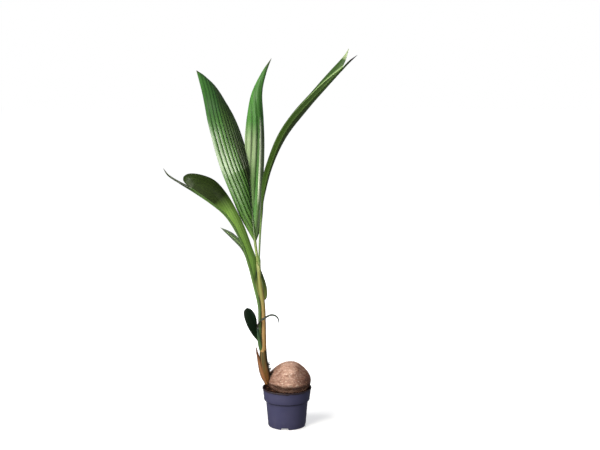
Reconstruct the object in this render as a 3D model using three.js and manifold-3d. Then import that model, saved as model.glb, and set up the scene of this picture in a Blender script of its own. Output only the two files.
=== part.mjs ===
// A young coconut palm, sprouted from its nut and standing in a plastic nursery pot.
// Units are millimetres and +Z is up. The origin is the centre of the pot's underside.
// +X runs along the nut, away from the sprout, and -Y is the side that the leaves face.

import * as THREE from "three";
import { mergeVertices } from "three/addons/utils/BufferGeometryUtils.js";
import Module from "manifold-3d";

const wasm = await Module();
wasm.setup();

const TAU = 2 * Math.PI;
const FRONT = new THREE.Vector3(0, -1, 0);
const CLEAR = 0.3; // gap between two pieces that touch

// Pot: a tapered wall with a deep collar, standing on a notched foot ring and a flat pad in the middle

const POT = {
  sides: 44,
  height: 151,
  wall: 1.8,
  lipRadius: 95,
  lipDepth: 4,
  collarHeight: 47,
  collarRadius: 88.5, // at the collar's lower edge
  bodyRadius: 81, // just under the collar
  footRadius: 73,
  footRound: 3,
  ringWidth: 4,
  floorHeight: 9, // the underside of the raised floor
  padRadius: 30,
};
const NOTCH = { count: 4, footWidth: 30, topWidth: 24, reach: 15, turn: THREE.MathUtils.degToRad(-96) };
const DRAIN = { count: 8, radius: 4, ring: 53 };

// The soil's surface is mapped by rings, each a share of its radius, and rises and dips in soft lumps.
const SOIL = { level: 143, rings: [0.95, 0.86, 0.74, 0.58, 0.36, 0], bump: 2.5, waveX: 0.11, waveY: 0.13 };

// Nut: it lies on its side, with three soft ridges that run from end to end

const NUT = {
  centre: [7, 0, 177],
  length: 172,
  depth: 146,
  height: 139,
  ridge: 0.04, // how far the ridges stand out, as a share of the radius
  ridgeTurn: THREE.MathUtils.degToRad(73),
  endTaper: 0.22, // how much slimmer than an egg it is near its ends
  lean: 0.1, // how much fuller it is towards its far end
};

// Stem: the leaf sheaths rolled one in the next, from the nut's end to the last two leaf stalks.
// A limb's places are [x, y, z, radius].

const STEM = [
  [-76, -16, 168, 9.5],
  [-77, -20, 190, 14],
  [-82, -21, 218, 16.5],
  [-88, -18, 252, 15.5],
  [-91, -13, 300, 13.2],
  [-90, -9, 348, 11],
  [-90, -6, 410, 9.8],
  [-93, -3, 480, 9.4],
  [-102, 0, 550, 8.6],
  [-107, 0, 600, 8.4],
  [-109, 0, 641, 8.8],
];
const STEM_SHAPE = { stations: 22, sides: 12, flat: 0.9 };

// The torn threads of the lowest sheath, on the side that faces the nut, as [foot, tip].
const THREAD = { footRadius: 4, tipRadius: 1 };
const THREADS = [
  [[-80, -16, 236], [-70, -17, 252]],
  [[-74, -20, 222], [-64, -21, 233]],
  [[-71, -22, 207], [-62, -23, 214]],
];

// The first brown sheath hugs the foot of the stem and stands off it at its point.
const SCALE = [
  [-78, -30, 172, 5],
  [-88, -33, 197, 9],
  [-96, -31, 221, 9.5],
  [-103, -29, 248, 7.5],
  [-109, -27, 275, 5],
  [-114, -27, 298, 3],
  [-116, -27, 314, 1],
];

// Leaves: a stalk that runs on as the rib, and a blade of two halves that part at the notch.
// A half lies between its outer margin and the rib, and past the notch its inner margin, and
// bulges towards `facing`. Margins list the places between the foot or notch and the tip.
// Pleats run side by side with the outer margin, so they end one by one on the rib and inner margin.

const PLEAT = { pitch: 19, depth: 4.4 };
const BLADE = {
  edge: 2.4, // thickness at the margins
  thick: 7.5, // thickness half way over
  camber: 0.1, // bulge as a share of the width
  rows: 13,
  fullWidth: 60, // where a half is narrower than this, its pleats and thickness shrink
  blunt: 0.004, // how far short of its foot and tip a half stops, as a share of its length
};

const LEAVES = [
  {
    name: "first_leaf",
    finish: "darkBlade",
    flat: 0.6,
    bladeFrom: 0.4,
    stalk: [[-97, -16, 291, 5], [-102, -24, 321, 7.5], [-108, -26, 357, 6.5], [-113, -27, 392, 2.4]],
    halves: [
      {
        name: "oval_half",
        outer: [[-131, -30, 365], [-151, -33, 402], [-163, -31, 442], [-162, -30, 458]],
        inner: [[-114, -26, 419], [-122, -26, 446], [-137, -26, 464]],
        tip: [-151, -28, 469],
        pitch: 14,
        pleat: 1.2,
        thick: 4,
      },
    ],
  },
  {
    name: "hidden_leaf",
    finish: "blade",
    flat: 0.7,
    bladeFrom: 0.1,
    stalk: [
      [-92, 2, 448, 3],
      [-91, 11, 474, 3.4],
      [-90, 25, 509, 3.4],
      [-97, 34, 558, 3.2],
      [-117, 40, 608, 3],
      [-148, 50, 661, 2.6],
      [-194, 62, 716, 2.2],
      [-233, 72, 747, 1.6],
    ],
    halves: [
      {
        name: "right_half",
        outer: [[-77, 22, 498], [-76, 30, 530], [-87, 35, 572], [-114, 44, 631], [-167, 56, 703], [-209, 66, 743]],
        inner: [],
        tip: [-258, 80, 763],
        pleat: 2.4,
        thick: 4.5,
      },
      {
        name: "left_half",
        outer: [[-109, 18, 503], [-141, 34, 600], [-172, 52, 676], [-213, 66, 720]],
        inner: [],
        tip: [-257, 80, 761],
        pleat: 2.4,
        thick: 4.5,
      },
    ],
  },
  {
    name: "left_leaf",
    finish: "blade",
    flat: 0.8,
    bladeFrom: 0.34,
    stalk: [
      [-99, -20, 328, 3],
      [-103, -18, 378, 6],
      [-103, -15, 424, 6.4],
      [-105, -12, 470, 6],
      [-125, -14, 556, 5],
      [-153, -28, 674, 4.4],
      [-175, -35, 736, 4],
      [-225, -44, 825, 3.6],
      [-308, -56, 896, 3],
      [-354, -60, 930, 2.2],
    ],
    halves: [
      {
        name: "upper_half",
        outer: [[-115, 4, 642], [-133, -4, 702], [-157, -10, 773], [-189, -14, 842], [-229, -20, 911],
          [-271, -22, 956], [-327, -20, 977], [-369, -12, 978]],
        inner: [[-374, -50, 944], [-385, -30, 954]],
        tip: [-388, -2, 965],
        camber: 0.16,
        rows: 18,
      },
      {
        name: "lower_half",
        outer: [[-142, 10, 606], [-179, 26, 719], [-229, 28, 805], [-289, 24, 861], [-352, 14, 905],
          [-402, 0, 939], [-446, -18, 973]],
        inner: [[-401, -52, 952], [-438, -42, 977]],
        tip: [-460, -30, 1001],
        facing: [0.3, 0, 1],
        rows: 16,
      },
    ],
  },
  {
    name: "middle_leaf",
    finish: "blade",
    flat: 0.8,
    bladeFrom: 0.2,
    stalk: [[-112.5, 0, 638.6, 6.4], [-113.5, 0, 664, 6.6], [-119, 2, 708, 5.8], [-124, 7, 761, 4.6],
      [-135, 24, 873, 3.4], [-144, 50, 1001, 2.2]],
    halves: [
      {
        name: "left_half",
        outer: [[-151, -2, 770], [-175, -4, 816], [-212, -8, 908], [-246, -10, 998], [-272, -6, 1088],
          [-295, 6, 1177], [-315, 24, 1277]],
        inner: [[-151, 78, 1056], [-169, 98, 1112], [-199, 108, 1188], [-226, 108, 1237], [-270, 90, 1308],
          [-309, 70, 1345]],
        tip: [-340, 60, 1363],
        camber: 0.16,
      },
      {
        name: "right_half",
        outer: [[-96, 22, 774], [-87, 45, 856], [-85, 80, 967], [-83, 112, 1080], [-86, 134, 1171],
          [-91, 134, 1286], [-77, 130, 1355]],
        inner: [[-159, 62, 1076], [-158, 74, 1136], [-147, 88, 1219], [-132, 102, 1283], [-94, 118, 1359]],
        tip: [-58, 128, 1410],
        camber: 0.14,
      },
    ],
  },
  {
    name: "right_leaf",
    finish: "blade",
    flat: 0.8,
    bladeFrom: 0.25,
    stalk: [
      [-102, -4, 638.6, 4.6],
      [-102, -7, 664, 4.6],
      [-101, -12, 700, 3.8],
      [-97, -28, 785, 3.8],
      [-84, -48, 908, 3.6],
      [-54, -66, 1023, 3.4],
      [6, -86, 1153, 3.2],
      [146, -100, 1311, 2.6],
      [203, -98, 1370, 2],
    ],
    halves: [
      {
        name: "left_half",
        outer: [[-92, -8, 938], [-80, 0, 997], [-41, -4, 1101], [16, -16, 1194], [93, -34, 1283],
          [153, -56, 1351], [190, -68, 1391], [212, -74, 1416]],
        inner: [[217, -90, 1401]],
        tip: [228, -78, 1443],
        rows: 16,
      },
      {
        name: "right_half",
        outer: [[-77, -6, 938], [-62, 0, 997], [-9, 0, 1112], [60, -16, 1201], [129, -34, 1284], [194, -58, 1353]],
        inner: [[228, -90, 1396]],
        tip: [261, -82, 1419],
        facing: [0.7, -0.5, -0.4],
        rows: 16,
      },
    ],
  },
];

// The first leaf's other half is rolled into a thin tendril that curls over the stem.
const TENDRIL = [
  [-113, -28, 388, 2.6],
  [-110, -33, 402, 3],
  [-102, -38, 416, 3.2],
  [-85, -43, 431, 3.4],
  [-59, -48, 445, 3.4],
  [-41, -51, 442, 3],
  [-32, -52, 431, 2.2],
  [-30, -51, 416, 1],
];

const paint = (color, roughness) => new THREE.MeshStandardMaterial({ color, roughness, metalness: 0 });
const FINISH = {
  pot: () => paint(0x4b4b5c, 0.45),
  soil: () => paint(0x2b1a10, 0.95),
  nut: () => paint(0xa0745c, 0.85),
  stem: () => paint(0xa98a4c, 0.55),
  scale: () => paint(0x7a4a2c, 0.7),
  stalk: () => paint(0x8fa04c, 0.45),
  blade: () => paint(0x3c6a28, 0.4),
  darkBlade: () => paint(0x173222, 0.4),
};

// Solids: a geometry becomes a closed solid, and a closed solid becomes a named mesh

function solidOf(geometry) {
  const bare = new THREE.BufferGeometry();
  bare.setAttribute("position", geometry.getAttribute("position"));
  bare.setIndex(geometry.index);
  const merged = mergeVertices(bare, 1e-3);
  const corners = merged.index.array;
  const kept = [];
  for (let i = 0; i < corners.length; i += 3) {
    const [a, b, c] = corners.subarray(i, i + 3);
    if (a !== b && b !== c && c !== a) kept.push(a, b, c);
  }
  const vertProperties = merged.attributes.position.array;
  return new wasm.Manifold(new wasm.Mesh({ numProp: 3, vertProperties, triVerts: new Uint32Array(kept) }));
}

// Cutting can leave a loose scrap, so only the largest piece is kept.
function largest(solid) {
  return solid.decompose().reduce((a, b) => (a.volume() > b.volume() ? a : b));
}

function meshOf(name, solid, finish) {
  const { vertProperties, triVerts } = solid.getMesh();
  const geometry = new THREE.BufferGeometry();
  geometry.setAttribute("position", new THREE.BufferAttribute(vertProperties, 3));
  geometry.setIndex(new THREE.BufferAttribute(triVerts, 1));
  geometry.computeVertexNormals();
  const mesh = new THREE.Mesh(geometry, FINISH[finish]());
  mesh.name = name;
  return mesh;
}

// A smooth curve through a few places, whose first three numbers are x, y and z.
function through(places) {
  return new THREE.CatmullRomCurve3(places.map(([x, y, z]) => new THREE.Vector3(x, y, z)));
}

// Points and faces become a geometry.
function shell(points, faces) {
  const geometry = new THREE.BufferGeometry().setFromPoints(points);
  geometry.setIndex(faces);
  return geometry;
}

// Limbs

// A limb tapers along a curve, and its section is an oval `flat` times as deep as it is wide.
// `grow` thickens it, to cut room for it in a neighbour.
function limb(places, { stations, sides, flat = 1, grow = 0 }) {
  const axis = through(places);
  const rings = [];
  for (let i = 0; i <= stations; i++) {
    const t = axis.getUtoTmapping(i / stations);
    const heading = axis.getTangent(t);
    const wide = new THREE.Vector3().crossVectors(heading, FRONT).normalize();
    const deep = new THREE.Vector3().crossVectors(heading, wide);
    const past = i === 0 ? -grow : i === stations ? grow : 0;
    const centre = axis.getPoint(t).addScaledVector(heading, past);
    const radius = radiusAt(places, t) + grow;
    for (let j = 0; j < sides; j++) {
      const angle = (TAU * j) / sides;
      const corner = centre.clone().addScaledVector(wide, radius * Math.cos(angle));
      rings.push(corner.addScaledVector(deep, radius * flat * Math.sin(angle)));
    }
  }
  return solidOf(tube(rings, sides));
}

// The radius part of the way along a limb's places, where t runs from 0 to 1.
function radiusAt(places, t) {
  const at = t * (places.length - 1);
  const k = Math.min(Math.floor(at), places.length - 2);
  return THREE.MathUtils.lerp(places[k][3], places[k + 1][3], at - k);
}

// Rings of points become one closed skin, with a fan over each end.
function tube(points, sides) {
  const last = points.length - sides;
  const faces = [];
  for (let a = 0; a < last; a++) {
    const b = a % sides === sides - 1 ? a + 1 - sides : a + 1;
    faces.push(a, b, b + sides, a, b + sides, a + sides);
  }
  for (let j = 1; j < sides - 1; j++) {
    faces.push(0, j + 1, j, last, last + j, last + j + 1);
  }
  return shell(points, faces);
}

// Half blades

// Both margins of a half as functions of the share of the way from its foot to its tip.
function marginsOf(leaf, half) {
  const rib = through(leaf.stalk);
  const outer = through([rib.getPointAt(leaf.bladeFrom).toArray(), ...half.outer, half.tip]);
  const inner = through([rib.getPointAt(1).toArray(), ...half.inner, half.tip]);
  const ribLength = rib.getLength() * (1 - leaf.bladeFrom);
  const notchAt = ribLength / (ribLength + inner.getLength());
  const alongRib = (u) => rib.getPointAt(THREE.MathUtils.mapLinear(u, 0, notchAt, leaf.bladeFrom, 1));
  const pastNotch = (u) => inner.getPointAt(THREE.MathUtils.mapLinear(u, notchAt, 1, 0, 1));
  return {
    outer: (u) => outer.getPointAt(u),
    inner: (u) => (u < notchAt ? alongRib(u) : pastNotch(u)),
    heading: (u) => outer.getTangentAt(u),
  };
}

// The cross-section of a half is a shallow arc from the outer margin to the inner one. `at` gives
// its point a share of the way over, and `shareAt` the share at a distance from the outer margin.
function sectionOf(margins, u, camber, turn) {
  const from = margins.outer(u);
  const chord = margins.inner(u).sub(from);
  const normal = margins.heading(u).cross(chord).normalize().multiplyScalar(turn);
  const bulge = 4 * camber * chord.length();
  const at = (w) => from.clone().addScaledVector(chord, w).addScaledVector(normal, bulge * w * (1 - w));
  const steps = 24;
  const reach = [0];
  for (let k = 1; k <= steps; k++) {
    reach.push(reach[k - 1] + at((k - 1) / steps).distanceTo(at(k / steps)));
  }
  const shareAt = (distance) => {
    const k = Math.max(1, reach.findIndex((length) => length >= distance));
    return (k - 1 + (distance - reach[k - 1]) / (reach[k] - reach[k - 1])) / steps;
  };
  return { at, shareAt, normal, over: chord.clone().normalize(), width: reach[steps] };
}

function halfBlade(leaf, half, grow = 0) {
  const pitch = half.pitch ?? PLEAT.pitch;
  const pleat = half.pleat ?? PLEAT.depth;
  const thick = half.thick ?? BLADE.thick;
  const rows = half.rows ?? BLADE.rows;
  const facing = half.facing ? new THREE.Vector3(...half.facing) : FRONT;
  const margins = marginsOf(leaf, half);
  const turn = Math.sign(sectionOf(margins, 0.5, 0, 1).normal.dot(facing));
  const end = 1 - BLADE.blunt;
  const shares = Array.from({ length: rows + 1 }, (_, i) => THREE.MathUtils.clamp(i / rows, BLADE.blunt, end));
  const sections = shares.map((u) => sectionOf(margins, u, half.camber ?? BLADE.camber, turn));
  const columns = Math.ceil(Math.max(...sections.map((s) => s.width)) / (pitch / 2));
  const top = [];
  const bottom = [];
  for (const { at, shareAt, normal, over, width } of sections) {
    const fullness = Math.min(1, width / BLADE.fullWidth);
    for (let j = 0; j <= columns; j++) {
      const distance = Math.min((j * pitch) / 2, width);
      const w = shareAt(distance);
      const fold = pleat * fullness * (0.5 - Math.abs(2 * ((distance / pitch) % 1) - 1));
      const body = BLADE.edge + (thick - BLADE.edge) * fullness * 4 * w * (1 - w) + 2 * grow;
      const sideways = w === 0 ? -grow : w > 0.999 ? grow : 0;
      const spot = at(w).addScaledVector(over, sideways).addScaledVector(normal, fold);
      top.push(spot.clone().addScaledVector(normal, body / 2));
      bottom.push(spot.addScaledVector(normal, -body / 2));
    }
  }
  return solidOf(sheet(top, bottom, rows, columns, turn));
}

// Two grids of points, one over the other, become a closed sheet.
function sheet(top, bottom, rows, columns, turn) {
  const wide = columns + 1;
  const under = top.length;
  const faces = [];
  const quad = (a, b, c, d) => (turn > 0 ? faces.push(a, b, c, a, c, d) : faces.push(a, c, b, a, d, c));
  for (let i = 0; i < rows; i++) {
    const first = i * wide;
    const last = first + columns;
    for (let a = first; a < last; a++) {
      quad(a + wide, a + wide + 1, a + 1, a);
      quad(under + a, under + a + 1, under + a + wide + 1, under + a + wide);
    }
    quad(under + first, under + first + wide, first + wide, first);
    quad(last, last + wide, under + last + wide, under + last);
  }
  const foot = rows * wide;
  for (let j = 0; j < columns; j++) {
    quad(j, j + 1, under + j + 1, under + j);
    quad(under + foot + j, under + foot + j + 1, foot + j + 1, foot + j);
  }
  return shell([...top, ...bottom], faces);
}

// Pot, soil and nut

// A profile of [radius, height] turned about the Z axis. Its inside lies to its left.
function lathe(profile) {
  const turned = new THREE.LatheGeometry(profile.map(([r, z]) => new THREE.Vector2(r, z)), POT.sides);
  return turned.rotateX(Math.PI / 2);
}

const collarFoot = POT.height - POT.collarHeight;
const lipFoot = POT.height - POT.lipDepth;
const floorTop = POT.floorHeight + POT.wall;

// The outer wall's [radius, height], from the foot to the lip.
const OUTER_WALL = [
  [POT.footRadius - POT.footRound, 0],
  [POT.footRadius - 0.3 * POT.footRound, 0.3 * POT.footRound],
  [POT.footRadius, POT.footRound],
  [POT.bodyRadius, collarFoot - 5],
  [POT.bodyRadius + 1, collarFoot - 3],
  [POT.collarRadius - 1, collarFoot],
  [POT.collarRadius, collarFoot + 2],
  [POT.lipRadius - 2, lipFoot - 2],
  [POT.lipRadius, lipFoot],
  [POT.lipRadius, POT.height],
];

// The inner wall's [radius, height], from the raised floor to the lip.
const INNER_WALL = [
  [POT.footRadius - POT.wall + 0.5, floorTop],
  [POT.bodyRadius - POT.wall, collarFoot - 3],
  [POT.collarRadius - POT.wall - 0.5, collarFoot + 3],
  [POT.lipRadius - POT.wall - 2, lipFoot - 2],
  [POT.lipRadius - POT.wall - 2, POT.height],
];

// The raised floor seen from inside, as [radius, height] from the middle outwards.
const FLOOR = [
  [0, POT.wall],
  [POT.padRadius - 1, POT.wall],
  [POT.padRadius + 5, floorTop],
];

function makePot() {
  const ringRadius = POT.footRadius - POT.footRound - POT.ringWidth;
  const underside = [
    [0, 0],
    [POT.padRadius, 0],
    [POT.padRadius + 7, POT.floorHeight],
    [ringRadius, POT.floorHeight],
    [ringRadius, 0],
  ];
  const inside = [...FLOOR, ...INNER_WALL].reverse();
  let pot = solidOf(lathe([...underside, ...OUTER_WALL, ...inside]));
  for (let i = 0; i < NOTCH.count; i++) {
    pot = pot.subtract(solidOf(notch().rotateZ(NOTCH.turn + (TAU * i) / NOTCH.count)));
  }
  for (let i = 0; i < DRAIN.count; i++) {
    const hole = new THREE.CylinderGeometry(DRAIN.radius, DRAIN.radius, 3 * POT.wall, 10);
    hole.rotateX(Math.PI / 2).translate(DRAIN.ring, 0, POT.floorHeight + POT.wall / 2);
    pot = pot.subtract(solidOf(hole.rotateZ(NOTCH.turn + (TAU * i) / DRAIN.count)));
  }
  return pot;
}

// A wedge that is wider at the foot, lying along +X through the foot ring.
function notch() {
  const outline = new THREE.Shape([
    new THREE.Vector2(-NOTCH.footWidth / 2, -1),
    new THREE.Vector2(NOTCH.footWidth / 2, -1),
    new THREE.Vector2(NOTCH.topWidth / 2, POT.floorHeight - 0.5),
    new THREE.Vector2(-NOTCH.topWidth / 2, POT.floorHeight - 0.5),
  ]);
  const wedge = new THREE.ExtrudeGeometry(outline, { depth: 2 * NOTCH.reach, bevelEnabled: false });
  return wedge.rotateX(Math.PI / 2).rotateZ(Math.PI / 2).translate(POT.footRadius - NOTCH.reach, 0, 0);
}

function makeSoil() {
  const rimRadius = INNER_WALL.at(-1)[0] - CLEAR;
  const floor = FLOOR.map(([r, z]) => [Math.max(0, r - CLEAR), z + CLEAR]);
  const wall = INNER_WALL.slice(0, -1).map(([r, z], i) => [r - CLEAR, i === 0 ? z + CLEAR : z]);
  const surface = SOIL.rings.map((share) => [rimRadius * share, SOIL.level]);
  const filling = lathe([...floor, ...wall.slice(0, -1), [rimRadius - 1, SOIL.level - 4], ...surface]);
  const spots = filling.attributes.position;
  for (let i = 0; i < spots.count; i++) {
    const [x, y, z] = [spots.getX(i), spots.getY(i), spots.getZ(i)];
    const lump = SOIL.bump * Math.sin(SOIL.waveX * x + 1) * Math.cos(SOIL.waveY * y);
    if (z > SOIL.level - 1) spots.setZ(i, z + lump);
  }
  return solidOf(filling);
}

function makeNut(grow = 0) {
  const egg = new THREE.SphereGeometry(1, 24, 18).rotateZ(Math.PI / 2);
  const spots = egg.attributes.position;
  for (let i = 0; i < spots.count; i++) {
    const [x, y, z] = [spots.getX(i), spots.getY(i), spots.getZ(i)];
    const ridge = 1 + NUT.ridge * Math.cos(3 * (Math.atan2(z, y) - NUT.ridgeTurn));
    const girth = ridge * (1 + NUT.lean * x - NUT.endTaper * x * x);
    spots.setXYZ(
      i,
      NUT.centre[0] + x * (NUT.length / 2 + grow),
      NUT.centre[1] + y * ((girth * NUT.depth) / 2 + grow),
      NUT.centre[2] + z * ((girth * NUT.height) / 2 + grow),
    );
  }
  return solidOf(egg);
}

function makeStem() {
  let stem = limb(STEM, STEM_SHAPE);
  for (const [foot, tip] of THREADS) {
    const thread = [[...foot, THREAD.footRadius], [...tip, THREAD.tipRadius]];
    stem = stem.add(limb(thread, { stations: 1, sides: 5 }));
  }
  return stem;
}

// Assembly: each piece is cut clear of those before it, which keep their room

const palm = new THREE.Group();
const rooms = [];

function seat(name, finish, solid, room = solid) {
  const clear = rooms.reduce((rest, taken) => rest.subtract(taken), solid);
  palm.add(meshOf(name, largest(clear), finish));
  rooms.push(room);
}

function seatLimb(name, finish, places, shape) {
  seat(name, finish, limb(places, shape), limb(places, { ...shape, grow: CLEAR }));
}

seat("pot", "pot", makePot());
seat("nut", "nut", makeNut(), makeNut(CLEAR));
seat("soil", "soil", makeSoil());
seat("stem", "stem", makeStem(), limb(STEM, { ...STEM_SHAPE, grow: CLEAR }));
seatLimb("scale_leaf", "scale", SCALE, { stations: 12, sides: 8, flat: 0.55 });
for (const { name, stalk, flat } of LEAVES) {
  seatLimb(`${name}_stalk`, "stalk", stalk, { stations: 2 * stalk.length, sides: 8, flat });
}
seatLimb("first_leaf_tendril", "darkBlade", TENDRIL, { stations: 12, sides: 7, flat: 0.6 });
for (const leaf of LEAVES) {
  for (const half of leaf.halves) {
    seat(`${leaf.name}_${half.name}`, leaf.finish, halfBlade(leaf, half), halfBlade(leaf, half, CLEAR));
  }
}

export default palm;
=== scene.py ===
import math
import random

import bpy
import numpy as np
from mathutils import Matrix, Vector, noise


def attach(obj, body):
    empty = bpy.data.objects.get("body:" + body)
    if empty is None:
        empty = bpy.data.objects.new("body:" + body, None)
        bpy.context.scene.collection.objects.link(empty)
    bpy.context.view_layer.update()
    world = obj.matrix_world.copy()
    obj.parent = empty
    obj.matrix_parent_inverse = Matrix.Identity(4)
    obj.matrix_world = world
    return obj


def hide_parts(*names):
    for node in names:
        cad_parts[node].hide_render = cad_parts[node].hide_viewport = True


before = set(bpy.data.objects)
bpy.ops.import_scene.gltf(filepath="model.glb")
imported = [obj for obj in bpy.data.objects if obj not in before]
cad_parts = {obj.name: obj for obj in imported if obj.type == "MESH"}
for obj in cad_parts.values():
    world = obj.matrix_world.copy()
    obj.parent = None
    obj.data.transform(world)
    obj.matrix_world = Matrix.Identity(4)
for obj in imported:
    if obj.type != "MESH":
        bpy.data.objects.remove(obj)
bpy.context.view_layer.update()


# Pot. A nursery pot moulded in one thin wall of grey-violet plastic. The deep collar stiffens its
# rim. It stands on a foot ring with four notches and on a pad, with drain holes between them.

POT_SIDES = 128
# The skin as (radius, height) in millimetres: from the pad out, up the outside, and down the inside.
POT_SKIN = [
    (30, 0), (37, 9), (66, 9), (66, 0), (70, 0), (72.1, 0.9), (73, 3),
    (75, 27), (77, 51), (79, 75), (81, 99), (81.3, 101.8), (86, 102.1), (87.9, 103), (88.6, 105),
    (90, 118), (91.5, 132), (93, 145), (94.6, 146.4), (95, 147.4), (95, 150.2), (94.2, 151),
    (92, 151), (91.2, 150.2), (91.2, 145), (86.2, 107), (79.2, 101), (71.7, 10.8), (35, 10.8), (29, 1.8),
]
POT_EDGE = math.radians(38)
FIRST_NOTCH = math.radians(-96)
NOTCH_RING = 0.073
NOTCH_MIDDLE = 0.00375
NOTCH_SIZE = (0.03, 0.03, 0.0095)
DRAIN_RING = 0.053
DRAIN_MIDDLE = 0.0099
DRAIN_RADIUS = 0.004
DRAIN_DEPTH = 0.006


def select_only(piece):
    """Nothing but this piece is selected, and it is the active one."""
    bpy.ops.object.select_all(action="DESELECT")
    piece.select_set(True)
    bpy.context.view_layer.objects.active = piece


def apply_modifier(piece, kind, **settings):
    """Adds a modifier to a piece and applies it."""
    select_only(piece)
    modifier = piece.modifiers.new(kind, kind)
    for setting, value in settings.items():
        setattr(modifier, setting, value)
    bpy.ops.object.modifier_apply(modifier=modifier.name)


def face_outwards(piece, merge=False, fill=False):
    """Turns a piece's faces outwards, once corners that meet are merged and open ends are closed."""
    select_only(piece)
    bpy.ops.object.mode_set(mode="EDIT")
    bpy.ops.mesh.select_all(action="SELECT")
    if merge:
        bpy.ops.mesh.remove_doubles(threshold=0.00001)
    if fill:
        bpy.ops.mesh.fill_holes(sides=0)
        bpy.ops.mesh.select_all(action="SELECT")
    bpy.ops.mesh.normals_make_consistent(inside=False)
    bpy.ops.object.mode_set(mode="OBJECT")


def turn_body(name, skin, sides):
    """A round body drawn up ring by ring from its underside, and closed at both ends."""
    bpy.ops.object.select_all(action="DESELECT")
    radius, height = skin[0]
    bpy.ops.mesh.primitive_circle_add(vertices=sides, radius=radius / 1000, location=(0, 0, height / 1000))
    body = bpy.context.object
    body.name = name
    bpy.ops.object.transform_apply()
    bpy.ops.object.mode_set(mode="EDIT")
    bpy.ops.mesh.select_all(action="SELECT")
    for next_radius, next_height in skin[1:]:
        rise = (next_height - height) / 1000
        spread = next_radius / radius
        bpy.ops.mesh.extrude_region_move(TRANSFORM_OT_translate={"value": (0, 0, rise)})
        bpy.ops.transform.resize(value=(spread, spread, 1), center_override=(0, 0, 0))
        radius, height = next_radius, next_height
    bpy.ops.object.mode_set(mode="OBJECT")
    face_outwards(body, fill=True)
    return body


def round_the_pot(radius, height, share):
    """A place a share of the way round the pot from its first notch, and the angle there."""
    angle = FIRST_NOTCH + share * math.tau
    return (radius * math.cos(angle), radius * math.sin(angle), height), angle


def cut_away(piece, cutters):
    """Cuts a group of loose shapes out of a piece."""
    bpy.ops.object.select_all(action="DESELECT")
    for cutter in cutters:
        cutter.select_set(True)
    bpy.context.view_layer.objects.active = cutters[0]
    bpy.ops.object.join()
    apply_modifier(piece, "BOOLEAN", operation="DIFFERENCE", object=cutters[0])
    bpy.data.objects.remove(cutters[0])


def colour(code):
    """A colour as it is seen, in six hex digits, in the values that a shader takes."""
    seen = [int(code[i : i + 2], 16) / 255 for i in (0, 2, 4)]
    return [v / 12.92 if v <= 0.04045 else ((v + 0.055) / 1.055) ** 2.4 for v in seen] + [1]


def new_finish(name, roughness, specular):
    """A new finish, with its tree of steps and its shader."""
    finish = bpy.data.materials.new(name)
    finish.use_nodes = True
    shader = finish.node_tree.nodes["Principled BSDF"]
    shader.inputs["Roughness"].default_value = roughness
    shader.inputs["Specular IOR Level"].default_value = specular
    return finish, finish.node_tree, shader


def pattern(tree, kind, inputs=None, **settings):
    """One step of a pattern. Each input is a value, or what an earlier step puts out."""
    step = tree.nodes.new("ShaderNode" + kind)
    for setting, value in settings.items():
        setattr(step, setting, value)
    for place, value in (inputs or {}).items():
        if isinstance(value, bpy.types.NodeSocket):
            tree.links.new(value, step.inputs[place])
        else:
            step.inputs[place].default_value = value
    return step


def in_object(tree, stretch=(1, 1, 1)):
    """Places on the object, stretched along its axes."""
    place = pattern(tree, "TexCoord").outputs["Object"]
    return pattern(tree, "Mapping", {"Vector": place, "Scale": stretch}).outputs[0]


def clouds(tree, place, scale, detail=4, rough=0.55):
    """Soft random patches, from 0 to 1. Scale is patches to a metre."""
    inputs = {"Vector": place, "Scale": scale, "Detail": detail, "Roughness": rough}
    return pattern(tree, "TexNoise", inputs).outputs["Fac"]


def maths(tree, operation, first, second=0.0):
    """One sum."""
    return pattern(tree, "Math", {0: first, 1: second}, operation=operation).outputs[0]


def product(tree, first, *others):
    """Several values, multiplied together."""
    for other in others:
        first = maths(tree, "MULTIPLY", first, other)
    return first


def fade(tree, value, low, high, to_low=0.0, to_high=1.0):
    """A value from low to high becomes one from to_low to to_high, and stays there outside."""
    inputs = {"Value": value, "From Min": low, "From Max": high, "To Min": to_low, "To Max": to_high}
    return pattern(tree, "MapRange", inputs).outputs[0]


def blend(tree, share, first, second, how="MIX"):
    """The first colour where the share is 0, and the second where it is 1."""
    step = pattern(tree, "Mix", {0: share}, data_type="RGBA", blend_type=how)
    for place, value in ((6, first), (7, second)):
        if isinstance(value, bpy.types.NodeSocket):
            tree.links.new(value, step.inputs[place])
        else:
            step.inputs[place].default_value = colour(value)
    return step.outputs[2]


def tint(tree, hue, other, value, low, high, share=1.0):
    """Turns a hue towards another where a value goes from low to high, by at most that share."""
    return blend(tree, fade(tree, value, low, high, 0.0, share), hue, other)


def emboss(tree, shader, height, depth, strength, under=None):
    """Gives a finish a fine relief, depth metres deep, over the relief that is under it."""
    inputs = {"Height": height, "Distance": depth, "Strength": strength}
    if under is not None:
        inputs["Normal"] = under
    relief = pattern(tree, "Bump", inputs).outputs[0]
    tree.links.new(relief, shader.inputs["Normal"])
    return relief


def paint(tree, shader, hue, roughness=None):
    """Joins a colour, and a roughness that varies, to the shader."""
    tree.links.new(hue, shader.inputs["Base Color"])
    if roughness is not None:
        tree.links.new(roughness, shader.inputs["Roughness"])


def wear(piece, finish):
    """Gives a piece its only finish and its slot, and lets it ride with the whole plant."""
    piece.data.materials.clear()
    piece.data.materials.append(finish)
    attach(piece, "root")


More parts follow.
